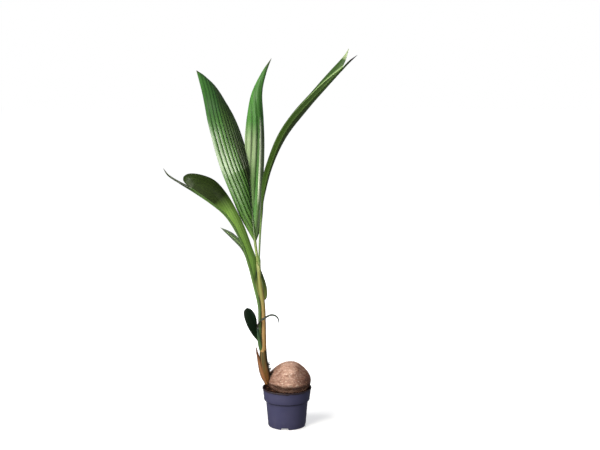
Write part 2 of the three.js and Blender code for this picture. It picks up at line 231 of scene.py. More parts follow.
pot = turn_body("nursery_pot", POT_SKIN, POT_SIDES)
notches = []
for i in range(4):
    middle, angle = round_the_pot(NOTCH_RING, NOTCH_MIDDLE, i / 4)
    bpy.ops.mesh.primitive_cube_add(size=1, location=middle, rotation=(0, 0, angle), scale=NOTCH_SIZE)
    notch = bpy.context.object
    for corner in notch.data.vertices:
        if corner.co.z > 0:
            corner.co.y *= 0.8
    notches.append(notch)
cut_away(pot, notches)
drains = []
for i in range(8):
    middle, _ = round_the_pot(DRAIN_RING, DRAIN_MIDDLE, i / 8)
    bpy.ops.mesh.primitive_cylinder_add(vertices=24, radius=DRAIN_RADIUS, depth=DRAIN_DEPTH, location=middle)
    drains.append(bpy.context.object)
cut_away(pot, drains)
apply_modifier(pot, "BEVEL", width=0.0004, segments=2, limit_method="ANGLE", angle_limit=POT_EDGE)
select_only(pot)
bpy.ops.object.shade_smooth_by_angle(angle=POT_EDGE)

pot_plastic, tree, shader = new_finish("pot_plastic", 0.42, 0.45)
place = in_object(tree)
height = pattern(tree, "SeparateXYZ", {0: place}).outputs[2]
haze = clouds(tree, place, 14, 3)
smear = clouds(tree, in_object(tree, (1, 1, 0.35)), 60, 6, 0.7)
pot_hue = tint(tree, "3e3e5c", "454460", haze, 0.35, 0.7)
# Peat has smeared the top of the rim, and dust lies near the foot. The dark band under the collar is a
# painted shadow.
smeared = maths(tree, "ADD", height, fade(tree, smear, 0.3, 0.7, -0.003, 0.003))
pot_hue = tint(tree, pot_hue, "2a1d18", smeared, 0.1425, 0.1455, 0.85)
collar_shadow = product(tree, fade(tree, height, 0.0965, 0.099), fade(tree, height, 0.1034, 0.1022), 0.85)
pot_hue = blend(tree, collar_shadow, pot_hue, "131118")
dust = product(tree, fade(tree, smear, 0.5, 0.75), fade(tree, height, 0.05, 0, 0, 0.35))
pot_hue = blend(tree, dust, pot_hue, "6d675f")
paint(tree, shader, pot_hue, fade(tree, haze, 0.3, 0.75, 0.36, 0.5))
emboss(tree, shader, clouds(tree, place, 1400, 2), 0.0002, 0.25)
wear(pot, pot_plastic)
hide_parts("pot")


# Soil. Dark damp peat fills the pot to just under its rim and is pressed up against the nut. Crumbs
# of peat and chips of bark lie loose on it.

SOIL_TOP = 143
SOIL_SKIN = [(28.5, 2.1), (34.5, 11.1), (71.4, 11.1), (78.9, 101), (85.9, 107), (90.6, 136), (90.9, 139)]
SOIL_SKIN += [(radius, SOIL_TOP) for radius in np.arange(90, 2, -2.2)]
SURFACE_FROM = 0.1395
# Two ovals, as half a length and half a width: the nut where it meets the soil, and the heap round it.
NUT_X = 0.007
NUT_OVAL = (0.074, 0.063)
HEAP_OVAL = (0.077, 0.066)


def from_nut(x, y, oval):
    """How far a place on the soil is from the nut's middle. It is 1 on the oval."""
    return math.hypot((x - NUT_X) / oval[0], y / oval[1])


def soil_height(x, y):
    """The height of the soil's surface, in metres: a low swell, a heap round the nut, and lumps."""
    swell = 0.0025 * math.sin(110 * x + 1) * math.cos(130 * y)
    heap = 0.0036 * min(1.0, max(0.0, 1 - (from_nut(x, y, HEAP_OVAL) - 1) / 0.12))
    lumps = noise.fractal(Vector((x * 90, y * 90, 3)), 0.8, 2.1, 4)
    return SOIL_TOP / 1000 + swell + heap + 0.0018 * lumps - 0.0015


soil = turn_body("potting_soil", SOIL_SKIN, 144)
for corner in soil.data.vertices:
    if corner.co.z > SURFACE_FROM:
        corner.co.z = soil_height(corner.co.x, corner.co.y)
select_only(soil)
bpy.ops.object.shade_smooth()

damp_peat, tree, shader = new_finish("damp_peat", 0.93, 0.08)
grit = clouds(tree, in_object(tree), 420, 6, 0.7)
patches = clouds(tree, in_object(tree), 60, 4)
peat_hue = tint(tree, "110905", "321b11", grit, 0.38, 0.68)
peat_hue = tint(tree, peat_hue, "22110c", patches, 0.5, 0.75, 0.5)
peat_hue = tint(tree, peat_hue, "86512f", grit, 0.7, 0.76, 0.8)
paint(tree, shader, peat_hue)
emboss(tree, shader, grit, 0.0022, 0.9)
wear(soil, damp_peat)
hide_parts("soil")

chance = random.Random(7)


def new_piece(name, points, faces):
    """A piece made of a list of points and a list of faces."""
    mesh = bpy.data.meshes.new(name)
    mesh.from_pydata(points, [], faces)
    piece = bpy.data.objects.new(name, mesh)
    bpy.context.collection.objects.link(piece)
    return piece


def lump(stretch, seed):
    """A rough lump of a few faces, one metre across, as points and faces."""
    bpy.ops.object.select_all(action="DESELECT")
    bpy.ops.mesh.primitive_ico_sphere_add(subdivisions=1, radius=0.5)
    ball = bpy.context.object
    points = np.array([v.co for v in ball.data.vertices])
    shifts = [[1 + 0.35 * noise.noise(Vector(p) * 3 + Vector((seed, 0, 0)))] for p in points]
    faces = np.array([list(f.vertices) for f in ball.data.polygons])
    bpy.data.objects.remove(ball)
    return points * np.array(shifts) * stretch, faces


def random_turn():
    """A random turn, as the three rows of a matrix."""
    axis = Vector([chance.gauss(0, 1) for _ in range(3)]).normalized()
    return np.array(axis.to_track_quat("Z", "Y").to_matrix())


def strew(name, lump_points, lump_faces, count, sizes, lift):
    """Many copies of one lump, turned at random and pressed flatter, on the soil round the nut."""
    points, faces = [], []
    while len(points) < count:
        angle, radius = chance.uniform(0, math.tau), chance.uniform(0.058, 0.0895)
        x, y = radius * math.cos(angle), radius * math.sin(angle)
        if from_nut(x, y, NUT_OVAL) < 0.97:
            continue
        size = chance.uniform(*sizes)
        turned = lump_points @ random_turn().T * size
        turned[:, 2] *= 0.75
        faces.append(lump_faces + len(points) * len(lump_points))
        points.append(turned + (x, y, soil_height(x, y) + lift * size))
    return new_piece(name, np.vstack(points).tolist(), np.vstack(faces).tolist())


crumbs = strew("peat_crumbs", *lump((1, 0.8, 0.7), 1), 620, (0.002, 0.0065), 0.12)
wear(crumbs, damp_peat)

bark_chip, tree, shader = new_finish("bark_chip", 0.85, 0.3)
grain = clouds(tree, in_object(tree), 500, 5)
paint(tree, shader, tint(tree, "3a1f13", "744a2f", grain, 0.35, 0.7))
emboss(tree, shader, grain, 0.0008, 0.6)
chips = strew("bark_chips", *lump((1.6, 0.75, 0.3), 4), 110, (0.0025, 0.0065), 0.25)
wear(chips, bark_chip)


# Nut. The whole fruit is planted in its dry husk, lying on its side. Three soft ridges run from end
# to end under a papery skin, which has dulled and split, so that the fibres of the husk stand out.

NUT_CENTRE = np.array([NUT_X, 0, 0.177])
NUT_HALF = np.array([0.086, 0.073, 0.0695])
RIDGE_TURN = math.radians(73)
HUSK_SIDES = 220
HUSK_RINGS = 150


def on_nut(x, turn, proud):
    """A place on the husk. x runs from -1 to 1 along it, turn goes round it, proud is in metres."""
    around = math.sqrt(max(0.0, 1 - x * x))
    girth = (1 + 0.04 * math.cos(3 * (turn - RIDGE_TURN))) * (1 + 0.1 * x - 0.22 * x * x)
    out = np.array([x, around * girth * math.cos(turn), around * girth * math.sin(turn)])
    away = np.array([x, around * math.cos(turn), around * math.sin(turn)])
    return NUT_CENTRE + NUT_HALF * out + proud * away


def husk_relief(x, turn):
    """How far the husk's surface stands out, in metres: ridges, dents, long wrinkles and fibres."""
    y, z = math.cos(turn), math.sin(turn)
    dents = noise.fractal(Vector((2.2 * x, 2.2 * y, 2.2 * z)), 1, 2, 3)
    wrinkles = noise.fractal(Vector((1.8 * x, 9 * y, 9 * z)), 0.7, 2.2, 4)
    strands = noise.fractal(Vector((5 * x, 34 * y, 34 * z)), 0.6, 2, 3)
    creases = 1 - 2.2 * abs(noise.noise(Vector((7 * x + 3, 13 * y, 13 * z + 8))))
    creases += 0.6 - 1.4 * abs(noise.noise(Vector((19 * x, 30 * y + 5, 30 * z))))
    from_ridge = (turn - RIDGE_TURN + 0.16 + math.pi / 3) % (math.tau / 3) - math.pi / 3
    ridge = 0.003 * math.exp(-((from_ridge / 0.11) ** 2))
    under = 0.0042 * math.exp(-(((from_ridge - 0.28) / 0.15) ** 2))
    ridges = (ridge - under) * min(1.0, 2.2 * (1 - abs(x)))
    pinch = 0.0055 * math.exp(-(((x - 0.66) / 0.22) ** 2)) * math.exp(-(((turn - 1.85) / 0.75) ** 2))
    rough = 0.0018 * dents + 0.0013 * wrinkles + 0.0004 * strands + 0.0008 * creases
    return ridges - pinch + rough - 0.0016


bpy.ops.object.select_all(action="DESELECT")
on_its_side = (0, math.radians(90), 0)
bpy.ops.mesh.primitive_uv_sphere_add(segments=HUSK_SIDES, ring_count=HUSK_RINGS, rotation=on_its_side)
nut = bpy.context.object
nut.name = "coconut_husk"
bpy.ops.object.transform_apply()
for corner in nut.data.vertices:
    turn = math.atan2(corner.co.z, corner.co.y)
    x = max(-1.0, min(1.0, corner.co.x))
    from_end = min(1.0, 6 * (1 - abs(x)))
    corner.co = Vector(on_nut(x, turn, from_end * husk_relief(x, turn)))
select_only(nut)
bpy.ops.object.shade_smooth()

husk, tree, shader = new_finish("dry_husk", 0.72, 0.35)
fibres = clouds(tree, in_object(tree, (0.09, 1, 1)), 520, 6, 0.62)
streaks = clouds(tree, in_object(tree, (0.3, 1, 1)), 75, 5, 0.6)
stains = clouds(tree, in_object(tree), 26, 4, 0.6)
flakes = clouds(tree, in_object(tree, (0.45, 1, 1)), 160, 5, 0.7)
husk_hue = tint(tree, "96705f", "c9a592", streaks, 0.36, 0.66)
husk_hue = tint(tree, husk_hue, "7a5041", stains, 0.48, 0.7, 0.7)
husk_hue = tint(tree, husk_hue, "e2ccba", flakes, 0.52, 0.64, 0.75)
husk_hue = tint(tree, husk_hue, "4d3024", fibres, 0.46, 0.3, 0.75)
# Crooked cracks between the flakes of skin.
stray = pattern(tree, "TexNoise", {"Vector": in_object(tree), "Scale": 45.0, "Detail": 3.0})
strayed = {0: stray.outputs["Color"], 1: (0.03, 0.03, 0.03), 2: in_object(tree, (0.4, 1, 1))}
crooked = pattern(tree, "VectorMath", strayed, operation="MULTIPLY_ADD").outputs[0]
cells = {"Vector": crooked, "Scale": 85.0}
cracks = pattern(tree, "TexVoronoi", cells, feature="DISTANCE_TO_EDGE").outputs["Distance"]
husk_hue = tint(tree, husk_hue, "5a3829", cracks, 0.1, 0.0, 0.5)
# Painted shade: darker towards both ends, and darker low down where the husk meets the soil.
along_x, _, up_z = pattern(tree, "SeparateXYZ", {0: in_object(tree)}).outputs
husk_hue = tint(tree, husk_hue, "58301f", along_x, 0.03, 0.075, 0.8)
husk_hue = tint(tree, husk_hue, "633d2e", along_x, -0.005, -0.065, 0.7)
low_shade = maths(tree, "ADD", up_z, fade(tree, stains, 0.3, 0.7, -0.005, 0.005))
husk_hue = tint(tree, husk_hue, "3a2015", low_shade, 0.177, 0.165, 0.8)
paint(tree, shader, husk_hue, fade(tree, streaks, 0.3, 0.7, 0.8, 0.6))
coarse = emboss(tree, shader, streaks, 0.0025, 0.7)
creased = emboss(tree, shader, fade(tree, cracks, 0.0, 0.14), 0.0011, 0.6, coarse)
emboss(tree, shader, fibres, 0.0009, 0.85, creased)
wear(nut, husk)
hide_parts("nut")


def unit(direction):
    """The same direction, with a length of one."""
    return direction / (np.linalg.norm(direction) + 1e-12)


def fibre_tubes(name, paths, thick, tip):
    """Thin three-sided strands along lists of points. The tip is a share as thick as the foot."""
    points, faces = [], []
    for path in paths:
        first = len(points)
        for i, spot in enumerate(path):
            ahead = path[min(i + 1, len(path) - 1)] - path[max(i - 1, 0)]
            side = unit(np.cross(ahead, (0.31, 0.42, 0.85)))
            up = unit(np.cross(ahead, side))
            radius = thick * (1 - (1 - tip) * i / (len(path) - 1))
            for k in range(3):
                angle = math.tau * k / 3
                points.append(spot + radius * (math.cos(angle) * side + math.sin(angle) * up))
        for i in range(len(path) - 1):
            for k in range(3):
                a, b = first + 3 * i + k, first + 3 * i + (k + 1) % 3
                faces.append((a, b, b + 3, a + 3))
        last = len(points) - 3
        faces += [(first + 2, first + 1, first), (last, last + 1, last + 2)]
    piece = new_piece(name, [point.tolist() for point in points], faces)
    face_outwards(piece)
    return piece


husk_threads = []
for _ in range(420):
    foot = chance.uniform(-0.93, 0.8)
    reach = chance.uniform(0.12, 0.5)
    turn = chance.uniform(math.radians(-35), math.radians(215))
    drift = chance.gauss(0, 0.05)
    free = chance.uniform(0.0002, 0.0022)
    thread = []
    for share in np.linspace(0, 1, 7):
        along = min(0.97, foot + reach * share)
        around = turn + drift * share + 0.02 * math.sin(9 * share + turn)
        proud = husk_relief(along, around) + 0.0001 + free * abs(2 * share - 0.9) ** 3
        thread.append(on_nut(along, around, proud))
    husk_threads.append(thread)

thread_brown, tree, shader = new_finish("husk_thread", 0.8, 0.3)
paint(tree, shader, blend(tree, clouds(tree, in_object(tree), 120, 3), "6f4d39", "cda98c"))
threads = fibre_tubes("husk_threads", husk_threads, 0.00026, 0.25)
wear(threads, thread_brown)


# Stem. It has no wood yet: the long sheaths of the leaves are rolled tightly one inside the next. A
# short olive sheath wraps its foot, a tan one comes out of that and splits at its top, and a short
# green one holds the last two leaf stalks together.

FRONT = np.array([0.0, -1.0, 0.0])
STEM_FLAT = 0.9
# Each limb is a list of places on its middle line, as x, y, z and radius in millimetres.
STEM = [
    (-76, -16, 168, 9.5), (-77, -20, 190, 14), (-82, -21, 218, 16.5), (-88, -18, 252, 15.5),
    (-91, -13, 300, 13.2), (-90, -9, 348, 11), (-90, -6, 410, 9.8), (-93, -3, 480, 9.7),
    (-102, 0, 550, 8.7), (-106, 0, 600, 7.6), (-107.6, 0, 641, 6.8),
]
TOP_SHEATH = [
    (-103.5, 0, 584, 6.4), (-105.4, 0, 600, 7.4), (-106.5, -0.5, 614, 8), (-107.4, -1, 630, 8.1),
    (-107.7, -1.5, 646, 8.1), (-108, -2, 664, 8.4),
]


class Growth:
    """A smooth line of growth through places in millimetres: x, y, z and sometimes a radius."""

    def __init__(self, places, steps=48):
        known = np.array([list(place) + [0] * (4 - len(place)) for place in places], float) / 1000
        knots = np.vstack([2 * known[0] - known[1], known, 2 * known[-1] - known[-2]])[:, :3]
        points = []
        for k in range(len(known) - 1):
            # From b to c. The places before and after them set the directions at both.
            a, b, c, d = knots[k : k + 4]
            ab, bc, cd = (math.sqrt(np.linalg.norm(q - p)) for p, q in ((a, b), (b, c), (c, d)))
            leave = bc * ((b - a) / ab - (c - a) / (ab + bc) + (c - b) / bc)
            arrive = bc * ((c - b) / bc - (d - b) / (bc + cd) + (d - c) / cd)
            t = np.linspace(0, 1, steps, endpoint=False)[:, None]
            bend = (3 * (c - b) - 2 * leave - arrive) * t**2 + (2 * (b - c) + leave + arrive) * t**3
            points.append(b + leave * t + bend)
        self.points = np.vstack([*points, known[-1:, :3]])
        gaps = np.linalg.norm(np.diff(self.points, axis=0), axis=1)
        self.distance = np.concatenate([[0], np.cumsum(gaps)])
        self.length = self.distance[-1]
        self.radii = np.interp(np.arange(len(self.points)) / steps, np.arange(len(known)), known[:, 3])

    def at(self, share):
        """The place at a share of the length."""
        return np.array([np.interp(share * self.length, self.distance, self.points[:, i]) for i in range(3)])

    def heading(self, share):
        """The direction of growth at a share of the length."""
        return unit(self.at(min(1, share + 0.002)) - self.at(max(0, share - 0.002)))

    def radius(self, share):
        """The radius at a share of the length."""
        return np.interp(share * self.length, self.distance, self.radii)

    def across(self, share):
        """The directions to the right and to the back of a limb at a share of the length."""
        heading = self.heading(share)
        wide = unit(np.cross(heading, FRONT))
        return wide, np.cross(heading, wide)


def lay_sheet(name, places, surface):
    """A flat grid of faces laid over places[row][column], whose map holds surface[row][column]."""
    places, surface = np.array(places), np.array(surface)
    rows, columns = places.shape[:2]
    bpy.ops.object.select_all(action="DESELECT")
    bpy.ops.mesh.primitive_grid_add(x_subdivisions=columns - 1, y_subdivisions=rows - 1, size=1)
    sheet = bpy.context.object
    sheet.name = name
    sheet.data.vertices.foreach_set("co", places.reshape(-1).astype(np.float32))
    corners = np.zeros(len(sheet.data.loops), np.int32)
    sheet.data.loops.foreach_get("vertex_index", corners)
    flat = surface.reshape(-1, 2)[corners].reshape(-1).astype(np.float32)
    sheet.data.uv_layers.active.data.foreach_set("uv", flat)
    sheet.data.update()
    return sheet


def thicken(sheet, thick, edge):
    """Gives a sheet its thickness, and keeps edges sharp that turn by more than `edge` degrees."""
    face_outwards(sheet, merge=True)
    bpy.ops.object.shade_smooth()
    apply_modifier(sheet, "SOLIDIFY", thickness=thick, offset=0)
    bpy.ops.object.shade_smooth_by_angle(angle=math.radians(edge))
    return sheet


def fine_ribs(count, height, sunk=0.0):
    """Fine ribs along a limb, in metres, on a surface that lies as far inside it as sunk says."""
    return lambda turns: height * np.cos(count * turns) - sunk


def grow_limb(name, places, flat, sides, step, relief):
    """A tapering limb. Its map has the share of the way round, and the share from foot to tip."""
    line = Growth(places)
    turns = np.linspace(0, math.tau, sides + 1)
    rings, surface = [], []
    for share in np.linspace(0, 1, max(12, int(line.length / step))):
        wide, deep = line.across(share)
        radius = line.radius(share) + relief(turns)
        ring = np.outer(radius * np.cos(turns), wide) + np.outer(radius * flat * np.sin(turns), deep)
        rings.append(line.at(share) + ring)
        surface.append(np.stack([turns / math.tau, np.full(sides + 1, share)], 1))
    limb = lay_sheet(name, rings, surface)
    face_outwards(limb, merge=True, fill=True)
    bpy.ops.object.shade_smooth()
    return limb


def wrap_sheath(name, places, flat, turn_range, start, point, thick, columns=40, rows=90, tucked=0.0):
    """A sheath round part of a limb, from the share `start` up. Its top is cut slanting: `point` says how
    high it reaches at each share of the way round. Below the share `tucked` another sheath covers it."""
    line = Growth(places)
    turns = np.radians(np.linspace(*turn_range, columns))
    sheet, surface = [], []
    for up in np.linspace(0, 1, rows):
        row, marks = [], []
        for over, turn in zip(np.linspace(0, 1, columns), turns):
            share = start + up * (point(over) - start)
            wide, deep = line.across(share)
            curl = 0.0004 * up**3 + 0.00035 * math.sin(5 * turn + 3 * share) * up
            ribs = 0.00014 * math.cos(46 * turn)
            radius = line.radius(share) - thick / 2 + curl + ribs
            radius -= 0.0015 * min(1.0, max(0.0, (tucked - share) / 0.05))
            out = math.cos(turn) * wide + flat * math.sin(turn) * deep
            row.append(line.at(share) + radius * out)
            marks.append((over, share))
        sheet.append(row)
        surface.append(marks)
    return thicken(lay_sheet(name, sheet, surface), thick, 50)


def on_map(tree):
    """The two numbers of a piece's own map."""
    place = pattern(tree, "UVMap", uv_map="UVMap").outputs[0]
    parts = pattern(tree, "SeparateXYZ", {0: place})
    return parts.outputs[0], parts.outputs[1]


def lengthwise(tree, over, along, scale_over, scale_along, detail=4):
    """Random streaks that run along a piece."""
    scaled = {0: product(tree, over, scale_over), 1: product(tree, along, scale_along)}
    return clouds(tree, pattern(tree, "CombineXYZ", scaled).outputs[0], 1, detail)


def sheath_finish(name, low, high, edge, streaks, streaky, roughness=0.42, rise=(0, 1), rim=(0.24, 0.38)):
    """Straw to green sheath with fine ribs and streaks. It goes from its low hue to its high one over
    the shares in `rise`, and to its edge's hue over the distances from its middle line in `rim`. That
    hue is partly painted shade on the sides that turn away from the front, and partly the browner hue
    of the sheath's edges."""
    finish, tree, shader = new_finish(name, roughness, 0.3)
    over, along = on_map(tree)
    streak = lengthwise(tree, over, along, 26, 3)
    ribs = lengthwise(tree, over, along, 90, 2, 2)
    hue = tint(tree, low, high, along, *rise)
    hue = tint(tree, hue, streaks, streak, 0.42, 0.66, streaky)
    from_middle = maths(tree, "ABSOLUTE", maths(tree, "SUBTRACT", over, 0.5))
    # Painted shade, with the browner hue of the edges, on the sides that turn away from the front.
    hue = tint(tree, hue, edge, from_middle, *rim, 0.9)
    paint(tree, shader, hue, fade(tree, streak, 0.3, 0.7, roughness - 0.06, roughness + 0.12))
    emboss(tree, shader, ribs, 0.0005, 0.5)
    return finish


core_finish, tree, shader = new_finish("rolled_sheaths", 0.4, 0.45)
over, along = on_map(tree)
ribs = lengthwise(tree, over, along, 70, 3, 3)
streak = lengthwise(tree, over, along, 22, 4)
core_hue = tint(tree, "5f6a2c", "8f9d50", along, 0.15, 0.75)
core_hue = tint(tree, core_hue, "b9a768", streak, 0.4, 0.7, 0.5)
paint(tree, shader, core_hue)
emboss(tree, shader, ribs, 0.0006, 0.5)
stem = grow_limb("rolled_stem", STEM, STEM_FLAT, 56, 0.003, fine_ribs(23, 0.0002, 0.0011))
wear(stem, core_finish)
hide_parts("stem")

olive_sheath = wrap_sheath(
    "olive_sheath", STEM, STEM_FLAT, (105, 395), 0.0,
    lambda over: 0.265 + 0.05 * abs(over - 0.45) + 0.006 * math.sin(30 * over), 0.0012,
)
olive_finish = sheath_finish(
    "olive_sheath", "704a1e", "33380f", "1b190c", "86532a", 0.7, 0.5, (0.03, 0.2), (0.13, 0.27)
)
wear(olive_sheath, olive_finish)

tan_sheath = wrap_sheath(
    "tan_sheath", STEM, STEM_FLAT, (140, 400), 0.2,
    lambda over: 0.94 - 0.75 * abs(over - 0.48) ** 1.3, 0.0009, tucked=0.29,
)
tan_finish = sheath_finish(
    "tan_sheath", "997946", "7f8a44", "7a3d20", "b08a5c", 0.6, 0.42, (0.52, 0.76), (0.16, 0.36)
)
wear(tan_sheath, tan_finish)

top_sheath = wrap_sheath(
    "top_sheath", TOP_SHEATH, 0.95, (120, 420), 0.0,
    lambda over: min(0.98, 0.5 + 1.1 * abs(over - 0.55)), 0.0008, columns=36, rows=40,
)
wear(top_sheath, sheath_finish("top_sheath", "8a9552", "8c9c5c", "5f6638", "b0ad7c", 0.5))


# First sheath. The lowest sheath has dried to brown paper. It still hugs the foot of the stem and
# stands off it at its point. The next one has torn into dark threads on the side of the nut.

DRY_SHEATH = [
    (-78, -30, 172, 5), (-88, -33, 197, 9), (-96, -31, 221, 9.5), (-103, -29, 248, 7.5),
    (-109, -27, 275, 5), (-114, -27, 298, 3), (-116, -27, 314, 1),
]
# Each bundle of torn threads goes from the stem to the nut, in millimetres.
TORN_BUNDLES = [
    ((-79, -18, 238), (-62, -20, 249)),
    ((-74, -22, 222), (-59, -24, 231)),
    ((-70, -24, 207), (-57, -26, 212)),
]


def cupped_strip(name, places, flat, cup, thick, columns):
    """A strip as wide as its limb, cupped towards the stem, and thin."""
    line = Growth(places)
    sheet, surface = [], []
    for share in np.linspace(0, 1, int(line.length / 0.003)):
        wide, deep = line.across(share)
        radius = line.radius(share)
        row, marks = [], []
        for over in np.linspace(-1, 1, columns):
            fold = radius * flat * (cup * over * over - 0.55 * cup)
            wave = 0.0005 * math.sin(22 * over + 7 * share) * share
            row.append(line.at(share) + radius * over * wide + (fold + wave) * deep)
            marks.append(((over + 1) / 2, share))
        sheet.append(row)
        surface.append(marks)
    return thicken(lay_sheet(name, sheet, surface), thick, 50)


def stray_by(*spreads):
    """A random shift, with a spread in metres along each axis."""
    return np.array([chance.gauss(0, spread) for spread in spreads])


scale_leaf = cupped_strip("dry_first_sheath", DRY_SHEATH, 0.55, 1.5, 0.0012, 22)
wear(scale_leaf, sheath_finish("dry_sheath", "8a5a34", "5f3526", "4d2a1a", "a07a4e", 0.55, 0.65))
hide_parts("scale_leaf")

torn_threads = []
for bundle in TORN_BUNDLES:
    foot, tip = np.array(bundle) / 1000
    for _ in range(34):
        start = foot + stray_by(0.0016, 0.003, 0.004) + (0, 0, -0.002)
        end = start + (tip - foot) * chance.uniform(0.45, 1.05)
        end += stray_by(0.0008, 0.0022, 0.0025)
        middle = (start + end) / 2 + np.append(stray_by(0.001, 0.001), 0.0015)
        torn_threads.append([start, (start + middle) / 2, middle, (middle + end) / 2, end])
dark_thread, tree, shader = new_finish("torn_thread", 0.8, 0.3)
paint(tree, shader, blend(tree, clouds(tree, in_object(tree), 200, 3), "100d07", "2e2414"))
torn = fibre_tubes("torn_sheath_threads", torn_threads, 0.0013, 0.2)
wear(torn, dark_thread)


# First leaf. Each leaf of a seedling is undivided: a stalk that runs on as the midrib of a pleated
# blade, whose two halves part at a notch. In the oldest and smallest one half is a dark oval, and the
# other has stayed rolled as a thin tendril that curls over in front of the stem.

first_leaf = {
    "stalk": [(-97, -16, 291, 5), (-102, -24, 321, 7.5), (-108, -26, 357, 6.5), (-113, -27, 392, 2.4)],
    "blade_from": 0.4,
}
TENDRIL = [
    (-113, -28, 388, 2.6), (-110, -33, 402, 3), (-102, -38, 416, 3.2), (-85, -43, 431, 3.4),
    (-59, -48, 445, 3.4), (-41, -51, 442, 3), (-32, -52, 431, 2.2), (-30, -51, 416, 1),
]
BLADE_THICK = 0.0011
PLEAT_COLUMNS = 10
FOLD_SHADE = "7d8a70"


def chords_across(leaf, outer, inner, tip, rows):
    """Straight lines across half a blade, each as its share of the length, its start at the outer margin,
    its run to the midrib or past the notch to the inner margin, and its normal. Also the notch's share."""
    rib = Growth(leaf["stalk"])
    rib_from = leaf["blade_from"]
    outer_line = Growth([rib.at(rib_from) * 1000, *outer, tip])
    inner_line = Growth([rib.at(1) * 1000, *inner, tip])
    rib_length = rib.length * (1 - rib_from)
    notch = rib_length / (rib_length + inner_line.length)
    chords = []
    for share in np.linspace(0.002, 0.9985, rows):
        edge = outer_line.at(share)
        if share < notch:
            end = rib.at(rib_from + (1 - rib_from) * share / notch)
        else:
            end = inner_line.at((share - notch) / (1 - notch))
        normal = unit(np.cross(outer_line.heading(share), end - edge))
        chords.append((share, edge, end - edge, normal))
    return chords, notch


def bulge_out(edge, run, normal, camber):
    """A chord that bulges by a share of its length: its points, and how far along it each one is."""
    over = np.linspace(0, 1, 41)[:, None]
    arc = edge + run * over + normal * 4 * camber * np.linalg.norm(run) * over * (1 - over)
    steps = np.linalg.norm(np.diff(arc, axis=0), axis=1)
    return arc, np.concatenate([[0], np.cumsum(steps)])


def half_blade(
    name, leaf, outer, inner, tip,
    facing=(0, -1, 0), camber=0.1, pitch=13.2, pleat=0.003, crest=0.5, smooth_from=0.6, narrowing=0.0,
    roll=(0.0, 0.0), rows=110,
):
    """Half a blade that bulges by `camber` towards `facing`. Its pleats are `pitch` millimetres wide and
    `pleat` metres deep, with their ridge at the share `crest`. They flatten past the share `smooth_from`
    of the length, and `narrowing` makes the inner ones narrower. `roll` is how far the outer and the
    inner margin curl back. The map has the pleats from the outer margin, and the share to the tip."""
    pitch = pitch / 1000
    chords, notch = chords_across(leaf, outer, inner, tip, rows)
    side = 1 if np.dot(chords[rows // 2][3], facing) > 0 else -1
    arcs = [bulge_out(edge, run, side * normal, camber) for _, edge, run, normal in chords]
    widest = max(distances[-1] for _, distances in arcs)
    columns = int(math.ceil(widest / (pitch / PLEAT_COLUMNS))) + 1
    sheet, surface = [], []
    for (share, _, _, normal), (arc, distances) in zip(chords, arcs):
        width = distances[-1]
        distance = np.minimum(np.arange(columns) * pitch / PLEAT_COLUMNS, width)
        to_inner = width - distance
        row = np.stack([np.interp(distance, distances, arc[:, i]) for i in range(3)], 1)
        # Pleats are deeper towards the midrib, flatter where the blade is narrow, and end on the midrib.
        fullness = min(1, width / 0.06)
        ease = (0.75 + 0.5 * distance / width) * (1 - 0.8 * np.clip((share - smooth_from) / 0.16, 0, 1))
        pleats = distance / pitch * (1 + narrowing * distance)
        phase = pleats % 1
        slope = np.where(phase < crest, phase / crest, (1 - phase) / (1 - crest))
        crease = 0.6 * slope + 0.4 * np.sin(slope * math.pi / 2) - 0.55
        crease = crease * np.clip(to_inner / 0.014, 0, 1)
        ripple = [noise.noise(Vector(spot) * 11 + Vector((0, 0, 5))) for spot in row]
        lift = pleat * ease * fullness * crease + 0.0014 * fullness * np.array(ripple)
        # The inner margin is free to curl only past the notch.
        free = min(1, max(0, (share - notch) / 0.06))
        lift -= roll[0] * fullness * np.clip(1 - distance / 0.016, 0, 1) ** 2
        lift -= roll[1] * free * fullness * np.clip(1 - to_inner / 0.024, 0, 1) ** 2
        sheet.append(row + np.outer(lift, side * normal))
        surface.append(np.stack([pleats, np.full(columns, share)], 1))
    return thicken(lay_sheet(name, sheet, surface), BLADE_THICK, 45)


def blade_finish(
    name, deep, fresh, foot, tip, roughness, specular, foot_share,
    upper=None, upper_share=(0, 1), bands=(), tip_share=(0.975, 0.995),
):
    """Waxy leaf: deep green with fresher streaks, fine veins, painted shade in its folds, and other hues at
    its foot, upper part and tip, each of which fades in over its two shares of the length. A band is a hue
    from one pleat to another, and from one share of the length to another."""
    finish, tree, shader = new_finish(name, roughness, specular)
    pleats, along = on_map(tree)
    fold = product(tree, maths(tree, "PINGPONG", pleats, 0.5), 2.0)
    streak = lengthwise(tree, pleats, along, 4, 2, 3)
    veins = maths(tree, "PINGPONG", product(tree, pleats, 6.0), 0.5)
    mottle = clouds(tree, in_object(tree), 9, 3)
    hue = tint(tree, deep, fresh, streak, 0.35, 0.66)
    hue = tint(tree, hue, deep, mottle, 0.4, 0.7, 0.4)
    hue = tint(tree, hue, foot, along, *foot_share, 0.85)
    if upper is not None:
        hue = tint(tree, hue, upper, along, *upper_share)
    for band_hue, first, last, low, high in bands:
        past_first = fade(tree, pleats, first - 0.1, first)
        before_last = fade(tree, pleats, last + 0.1, last)
        past_low = fade(tree, along, low - 0.1, low)
        before_high = fade(tree, along, high + 0.06, high)
        inside = product(tree, past_first, before_last, past_low, before_high, 0.85)
        hue = blend(tree, inside, hue, band_hue)
    hue = tint(tree, hue, fresh, veins, 0.3, 0.5, 0.18)
    # Painted shade in the valleys of the pleats.
    hue = blend(tree, fade(tree, fold, 0.16, 0.0, 0, 0.85), hue, FOLD_SHADE, "MULTIPLY")
    hue = tint(tree, hue, tip, along, *tip_share, 0.95)
    paint(tree, shader, hue, fade(tree, mottle, 0.3, 0.7, roughness - 0.03, roughness + 0.07))
    emboss(tree, shader, maths(tree, "ADD", veins, product(tree, streak, 0.4)), 0.0003, 0.1)
    return finish


